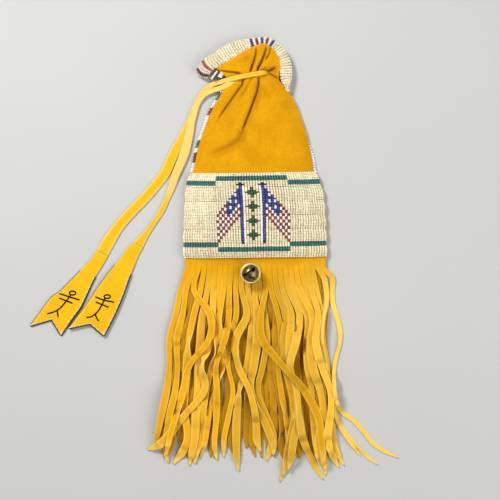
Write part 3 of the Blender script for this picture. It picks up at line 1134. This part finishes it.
def edging_beads(name, outline, shares, corner, mat):
    """Small beads whipped round a tab: a fine brown row up to its first corner, then a dark row outside
    the edge and one white to three dark inside it."""
    length = run_length(outline[:, :2])
    want = np.arange(shares[0] * length[-1], shares[1] * length[-1], EDGING_PITCH)
    behind, pts, ahead = (np.stack([np.interp(want + d, length, outline[:, k]) for k in range(3)], axis=1)
                          for d in (-0.9, 0.0, 0.9))
    tang = unit(ahead - behind)
    tang[:, 2] = 0.0
    out = np.stack([tang[:, 1], -tang[:, 0], np.zeros(len(tang))], axis=1)
    middle = len(pts) // 4
    if np.dot(out[middle, :2], pts[middle, :2] - outline[:, :2].mean(axis=0)) < 0:
        out = -out
    first = length[int(np.argmin(np.hypot(*(outline[:, :2] - np.array(corner)).T)))]
    fine = (want < first)[:, None]
    pale = np.flatnonzero(want > first)[::3]
    outer = pts + out * np.where(fine, 0.12, 0.40) - np.where(fine, 0.80, 0.60) * np.array((0.0, 0.0, 1.0))
    inner = pts[pale] - out[pale] * 0.46 - np.array((0.0, 0.0, 0.22))
    axis = np.vstack([tang * 0.95 - out * 0.15, tang[pale] * 0.6 + out[pale] * 0.5])
    rgb = np.vstack([np.where(fine, np.array(EDGING_BROWN), np.array(COLOUR["navy"])),
                     np.tile(np.array(COLOUR["white"]) * 0.85, (len(pale), 1))])
    radius = np.concatenate([np.where(fine[:, 0], 0.48, 0.80), np.full(len(pale), 0.52)])
    span = np.concatenate([np.full(len(pts), 1.4), np.full(len(pale), 0.95)])
    return place_beads(name, np.vstack([outer, inner]), axis, upward(len(radius)), (radius, span), rgb,
                       mat, 8)


def ink_lines(name, lines, width, tree, mat):
    """Drawn lines, as ribbons a twentieth of a millimetre proud of the hide."""
    all_v, all_q = [], []
    start = 0
    for points in lines:
        line = smooth_path(points, max(12, 6 * len(points)))
        side = line_frame(line)[1] * width / 2
        z = np.array([height_over(tree, x, y) for x, y in line]) + 0.05
        top = np.stack([np.column_stack([line - side, z]), np.column_stack([line + side, z])], axis=1)
        verts, quads, _ = slab(top, 0.12)
        all_v.append(verts)
        all_q.append(quads + start)
        start += len(verts)
    return mesh_object(name, np.vstack(all_v), np.vstack(all_q), (), (mat,), smooth=False)


def tab_figure(which, tab, mat):
    """A plain dragonfly figure: a ring for the head, two cross strokes and a forked tail."""
    centre, radius, strokes = FIGURES[which - 1]
    turns = np.linspace(0.0, 2 * np.pi, 13)
    ring = px(*[(centre[0] + radius[0] * math.cos(t), centre[1] + radius[1] * math.sin(t)) for t in turns])
    lines = [ring] + [px(*stroke) for stroke in strokes]
    return ink_lines("ink_figure_%d" % which, lines, FIGURE_WIDTH, tree_of(tab), mat)


# Bell


def lathe_object(name, profile, centre, mat, segments=72):
    """Turn a closed half-section of (r, z) points round the vertical axis at centre."""
    prof = np.array(profile, float)
    a = np.linspace(0.0, 2 * np.pi, segments, endpoint=False)[:, None]
    verts = np.stack([centre[0] + prof[None, :, 0] * np.cos(a), centre[1] + prof[None, :, 0] * np.sin(a),
                      centre[2] + prof[None, :, 1] + 0.0 * a], axis=-1).reshape(-1, 3)
    quads, _ = ring_faces(segments, len(prof), closed=True)
    obj = mesh_object(name, verts, quads[:, ::-1], (), (mat,))
    bm = bmesh.new()
    bm.from_mesh(obj.data)
    bmesh.ops.remove_doubles(bm, verts=bm.verts, dist=1e-6)
    bmesh.ops.recalc_face_normals(bm, faces=bm.faces)
    bm.to_mesh(obj.data)
    bm.free()
    return obj


def shell_profile(height, sign):
    """Half-section of a pressed shell: a flange with a rolled rim, a small fillet and a dome."""
    radius, wall, flange = DOME_RADIUS, SHELL_WALL, FLANGE_RADIUS
    a = np.radians(np.linspace(0, 90, 15))
    outer = np.stack([radius * np.cos(a) ** 0.92, wall + (height - wall) * np.sin(a)], axis=1)
    inner = np.stack([(radius - wall) * np.cos(a) ** 0.92, (height - wall) * np.sin(a)], axis=1)
    outer[-1] = (0.0, height)
    inner[-1] = (0.0, height - wall)
    rim = [(flange - 0.9, 0.0), (flange - 0.2, 0.0), (flange, 0.15), (flange, wall + 0.05),
           (flange - 0.2, wall + 0.28), (flange - 0.6, wall + 0.26), (flange - 0.95, wall + 0.05),
           (radius + 0.25, wall)]
    pts = np.vstack([[(radius - wall, 0.0)], rim, outer[1:], inner[::-1][:-1]])
    pts[:, 1] *= sign
    return pts


def cut_slot(shell, seam):
    """Cut the bell's slot with its round end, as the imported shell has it."""
    cx, cy = BELL_CENTRE
    (x0, y0), (x1, y1) = SLOT_FROM, SLOT_TO
    length, angle = math.hypot(x1 - x0, y1 - y0), math.atan2(y1 - y0, x1 - x0)
    opening = math.degrees(math.asin(SLOT_HALF / SLOT_HOLE))
    outline = [(SLOT_NECK, SLOT_HALF)] + [on_circle(SLOT_FOOT, a) for a in range(75, 286, 15)]
    outline += [(SLOT_NECK, -SLOT_HALF)]
    outline += [on_circle(SLOT_HOLE, a, length) for a in np.linspace(opening - 180, 180 - opening, 28)]
    low, high = seam + SLOT_DEPTH[0], seam + SLOT_DEPTH[1]
    m = len(outline)
    verts = [(cx + x0 + ox * math.cos(angle) - oy * math.sin(angle),
              cy + y0 + ox * math.sin(angle) + oy * math.cos(angle), z)
             for z in (low, high) for ox, oy in outline]
    mesh = bpy.data.meshes.new("slot_cutter")
    faces = [tuple(reversed(range(m))), tuple(range(m, 2 * m))]
    faces += [(i, (i + 1) % m, m + (i + 1) % m, m + i) for i in range(m)]
    mesh.from_pydata([tuple(c * MM for c in v) for v in verts], [], faces)
    tool = bpy.data.objects.new("slot_cutter", mesh)
    bpy.context.collection.objects.link(tool)
    mod = shell.modifiers.new("slot", "BOOLEAN")
    mod.operation = "DIFFERENCE"
    mod.solver = "EXACT"
    mod.object = tool
    depsgraph = bpy.context.evaluated_depsgraph_get()
    cut = bpy.data.meshes.new_from_object(shell.evaluated_get(depsgraph))
    shell.modifiers.clear()
    shell.data = cut
    bpy.data.objects.remove(tool, do_unlink=True)


# Materials


def new_material(name, roughness, metallic=0.0, **constants):
    mat = bpy.data.materials.new(name)
    mat.use_nodes = True
    shader = mat.node_tree.nodes["Principled BSDF"]
    shader.inputs["Roughness"].default_value = roughness
    shader.inputs["Metallic"].default_value = metallic
    for key, value in constants.items():
        shader.inputs[key.replace("_", " ")].default_value = value
    return mat, mat.node_tree, shader


def add(tree, kind, inputs=None, **settings):
    """A new node. An input is either a value or another node's output."""
    node = tree.nodes.new(kind)
    for key, value in settings.items():
        setattr(node, key, value)
    for key, value in (inputs or {}).items():
        if hasattr(value, "is_output"):
            tree.links.new(value, node.inputs[key])
        else:
            node.inputs[key].default_value = value
    return node


def mix(tree, fac, a, b):
    """Colour between a and b, which are triples or outputs."""
    node = add(tree, "ShaderNodeMix", data_type="RGBA")
    for slot, value in ((0, fac), (6, a), (7, b)):
        if hasattr(value, "is_output"):
            tree.links.new(value, node.inputs[slot])
        elif slot:
            node.inputs[slot].default_value = (*value, 1.0)
        else:
            node.inputs[slot].default_value = value
    return node.outputs[2]


def noise(tree, scale, detail, roughness=0.5):
    """Noise over the object's own coordinates."""
    place = add(tree, "ShaderNodeTexCoord").outputs["Object"]
    node = add(tree, "ShaderNodeTexNoise", {"Vector": place, "Scale": scale, "Detail": detail,
                                            "Roughness": roughness})
    return node.outputs["Fac"]


def remap(tree, value, low, high, to_low=0.0, to_high=1.0):
    node = add(tree, "ShaderNodeMapRange", {"Value": value, "From Min": low, "From Max": high,
                                            "To Min": to_low, "To Max": to_high})
    return node.outputs[0]


def calc(tree, operation, a, b, kind="ShaderNodeMath"):
    return add(tree, kind, {0: a, 1: b}, operation=operation).outputs[0]


def bump(tree, shader, height, strength, distance):
    relief = add(tree, "ShaderNodeBump", {"Height": height, "Strength": strength, "Distance": distance})
    tree.links.new(relief.outputs[0], shader.inputs["Normal"])


def suede_group():
    """Colour and height of brushed hide: broad mottling, nap grain and dark pores, with the tint
    attribute's red for pale cut edges, green for the strand's own tone and blue for dark folds."""
    group = bpy.data.node_groups.new("suede", "ShaderNodeTree")
    for name in ("Base", "Light", "Pale", "Deep"):
        group.interface.new_socket(name=name, in_out="INPUT", socket_type="NodeSocketColor")
    group.interface.new_socket(name="Color", in_out="OUTPUT", socket_type="NodeSocketColor")
    group.interface.new_socket(name="Height", in_out="OUTPUT", socket_type="NodeSocketFloat")
    src = group.nodes.new("NodeGroupInput").outputs
    out = group.nodes.new("NodeGroupOutput").inputs
    tint = add(group, "ShaderNodeAttribute", attribute_name="tint")
    parts = add(group, "ShaderNodeSeparateColor", {"Color": tint.outputs["Color"]}).outputs
    nap, pores = noise(group, 900.0, 5.0, 0.7), noise(group, 2300.0, 2.0)
    soft = remap(group, noise(group, 55.0, 4.0, 0.6), 0.3, 0.7)
    both = calc(group, "ADD", soft, remap(group, nap, 0.35, 0.65))
    colour = mix(group, calc(group, "MULTIPLY", both, 0.5), src["Base"], src["Light"])
    colour = mix(group, remap(group, pores, 0.62, 0.72, to_high=0.28), colour, src["Deep"])
    colour = mix(group, parts[0], colour, src["Pale"])
    colour = mix(group, calc(group, "MULTIPLY", parts[2], 0.85), colour, src["Deep"])
    tone = remap(group, parts[1], 0.0, 1.0, 0.80, 1.20)
    group.links.new(calc(group, "MULTIPLY", colour, tone, "ShaderNodeVectorMath"), out["Color"])
    group.links.new(calc(group, "ADD", nap, pores), out["Height"])
    return group


def suede(name, group, tones):
    """One brushed hide, from its base, light, pale and deep tones."""
    mat, tree, shader = new_material(name, 0.95, Sheen_Weight=0.08, Sheen_Roughness=0.6,
                                     Specular_IOR_Level=0.08)
    shader.inputs["Sheen Tint"].default_value = (*HIDE_SHEEN, 1.0)
    node = tree.nodes.new("ShaderNodeGroup")
    node.node_tree = group
    for key, tone in zip(("Base", "Light", "Pale", "Deep"), tones):
        node.inputs[key].default_value = (*tone, 1.0)
    tree.links.new(node.outputs["Color"], shader.inputs["Base Color"])
    bump(tree, shader, node.outputs["Height"], 0.35, 0.00035)
    return mat


def glass_beads(name, roughness):
    mat, tree, shader = new_material(name, roughness, Coat_Weight=0.25, Coat_Roughness=0.12)
    tint = add(tree, "ShaderNodeAttribute", attribute_name="tint").outputs["Color"]
    tone = remap(tree, noise(tree, 420.0, 3.0), 0.3, 0.7, 0.90, 1.06)
    tree.links.new(calc(tree, "MULTIPLY", tint, tone, "ShaderNodeVectorMath"), shader.inputs["Base Color"])
    return mat


def mottled(name, roughness, tones, scale, detail, metallic=0.0, **constants):
    """A material of two tones, mixed by noise."""
    mat, tree, shader = new_material(name, roughness, metallic, **constants)
    tree.links.new(mix(tree, noise(tree, scale, detail), *tones), shader.inputs["Base Color"])
    return mat


def brass(name):
    """Aged brass: brown patina over the dome, rubbed bright past WORN_FROM from the bell's axis."""
    mat, tree, shader = new_material(name, 0.34, 1.0)
    place = add(tree, "ShaderNodeTexCoord").outputs["Object"]
    flat = calc(tree, "MULTIPLY", place, (1.0, 1.0, 0.0), "ShaderNodeVectorMath")
    away = add(tree, "ShaderNodeVectorMath", {0: flat, 1: (BELL_CENTRE[0] * MM, BELL_CENTRE[1] * MM, 0.0)},
               operation="DISTANCE").outputs["Value"]
    rim = remap(tree, away, (WORN_FROM - 0.25) * MM, (WORN_FROM + 0.25) * MM)
    spots = noise(tree, 330.0, 5.0, 0.65)
    dome = mix(tree, remap(tree, spots, 0.38, 0.66), *BRASS_TONES)
    tree.links.new(mix(tree, rim, dome, BRASS_WORN), shader.inputs["Base Color"])
    rough = remap(tree, spots, 0.3, 0.7, 0.24, 0.40)
    rough = calc(tree, "ADD", rough, calc(tree, "MULTIPLY", rim, 0.16))
    tree.links.new(rough, shader.inputs["Roughness"])
    bump(tree, shader, spots, 0.12, 0.0002)
    return mat


def paint(node_name, mat):
    """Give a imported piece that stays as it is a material."""
    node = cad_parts[node_name]
    node.data.materials.clear()
    node.data.materials.append(mat)


def build_bell(tie_mat):
    """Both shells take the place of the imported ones; the loop, pellet and tie stay as packed."""
    seam_back = float(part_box("bell_back_shell")[1][2]) / MM
    seam_front = float(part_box("bell_front_shell")[0][2]) / MM
    gold = brass("aged_brass")
    front = lathe_object("bell_front", shell_profile(FRONT_HEIGHT, 1.0), (*BELL_CENTRE, seam_front), gold)
    cut_slot(front, seam_front)
    back = lathe_object("bell_back", shell_profile(BACK_HEIGHT, -1.0), (*BELL_CENTRE, seam_back), gold)
    for obj, node in ((front, "bell_front_shell"), (back, "bell_back_shell")):
        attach(obj, "bell")
        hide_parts(node)
    paint("bell_loop", gold)
    paint("bell_pellet", mottled("pellet_steel", 0.5, STEEL_TONES, 700.0, 4.0, 1.0))
    paint("bell_tie", tie_mat)


# Studio


def area_light(name, place, size, power):
    data = bpy.data.lights.new(name, "AREA")
    data.shape = "SQUARE"
    data.size = size
    data.energy = power
    obj = bpy.data.objects.new(name, data)
    obj.location = place
    obj.rotation_euler = (Vector(STAGE_MIDDLE) - Vector(place)).to_track_quat("-Z", "Y").to_euler()
    bpy.context.collection.objects.link(obj)


def studio():
    """Plain pale floor, soft light from the upper left and an even fill; the camera looks straight down."""
    mat = mottled("pale_floor", 0.9, FLOOR_TONES, 6.0, 2.0)
    corners = [(-1, -1), (1, -1), (1, 1), (-1, 1)]
    floor = mesh_object("floor", [(x * FLOOR_HALF, y * FLOOR_HALF, FLOOR_LOW) for x, y in corners],
                        [(0, 1, 2, 3)], (), (mat,))
    area_light("key", *KEY_LIGHT)
    area_light("fill", *FILL_LIGHT)
    world = bpy.data.worlds.new("studio")
    world.use_nodes = True
    sky = world.node_tree.nodes["Background"].inputs
    sky["Color"].default_value = (*SKY, 1.0)
    sky["Strength"].default_value = SKY_STRENGTH
    bpy.context.scene.world = world
    camera = bpy.data.cameras.new("camera")
    camera.lens = CAMERA_LENS
    camera.sensor_width = 36.0
    obj = bpy.data.objects.new("camera", camera)
    obj.location = (STAGE_MIDDLE[0], STAGE_MIDDLE[1], CAMERA_HEIGHT)
    bpy.context.collection.objects.link(obj)
    bpy.context.scene.camera = obj
    bpy.context.scene.view_settings.view_transform = "Standard"


# The bag, piece by piece


def dress_hide(mat):
    """The pouch. Returns its search tree, because the thong lies on it."""
    verts, quads, tris, tint = build_hide()
    hide = mesh_object("hide_body", verts, quads, tris, (mat,), tint)
    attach(hide, "bag")
    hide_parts("pouch")
    return tree_of(hide)


def dress_beads(beads, thread):
    """The lanes, the mouth's band and both side strips."""
    for index in range(LANES):
        lane = lane_beads(index, beads)
        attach(lane, "bag")
        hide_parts("panel_lane_%d" % (index + 1))
    for obj in mouth_beads(beads, thread):
        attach(obj, "bag")
        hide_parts("mouth_beading")
    left = strip_beads("side_beads_left", LEFT, *LEFT_STRIP, left_strip_colour, beads)
    right = strip_beads("side_beads_right", RIGHT, *RIGHT_STRIP, lambda y: "white", beads)
    for obj, node in ((left, "side_strip_left"), (right, "side_strip_right")):
        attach(obj, "bag")
        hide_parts(node)
    neck = neck_beads(beads)
    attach(neck, "bag")


def dress_fringe(mat):
    """Both slit sheets, which lie flat."""
    laid, left_x, right_x = lay_fringe()
    for layer in ("back", "front"):
        fringe, area = build_fringe(layer, laid[layer], left_x, right_x, mat)
        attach(fringe, "bag")
        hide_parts("fringe_" + layer)


def dress_drawstring(tree, mats, beads):
    """Both tails of the thong, each a cord with its tab, edging and figure on its far end."""
    one, two, leads = thong_paths(tree)
    ink_mat = mottled("drawn_ink", 0.9, INK_TONES, 1800.0, 2.0, Specular_IOR_Level=0.05)
    tails = (("one", one, leads[0] + TAB_ONE_START, TAB_ONE_END, PALE_ONE, EDGING_ONE),
             ("two", two, leads[1] + TAB_TWO_START, TAB_TWO_END, PALE_TWO, EDGING_TWO))
    for which, (word, points, tab_from, corners, pale, shares) in enumerate(tails, 1):
        strap, tab, outline, line = build_tail("thong_" + word, points, tab_from, corners, pale, mats)
        edge = edging_beads("tab_beads_" + word, outline, shares, corners[0], beads)
        ink = tab_figure(which, tab, ink_mat)
        for obj in (strap, tab, edge, ink):
            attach(obj, "bag")
        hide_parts("drawstring")
        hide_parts("drawstring")
        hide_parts("tab_edging_" + word)


def main():
    """The stage, the materials, and then each piece of the bag. The random draws follow this order."""
    studio()
    group = suede_group()
    thong_mat = suede("thong_hide", group, THONG_TONES)
    beads = glass_beads("glass_beads", 0.30)
    tree = dress_hide(suede("dyed_hide", group, HIDE_TONES))
    dress_beads(beads, mottled("sewing_thread", 0.9, THREAD_TONES, 1500.0, 3.0))
    dress_fringe(suede("fringe_hide", group, FRINGE_TONES))
    dress_drawstring(tree, (thong_mat, suede("tab_hide", group, TAB_TONES)), beads)
    build_bell(thong_mat)


main()

bpy.context.view_layer.update()
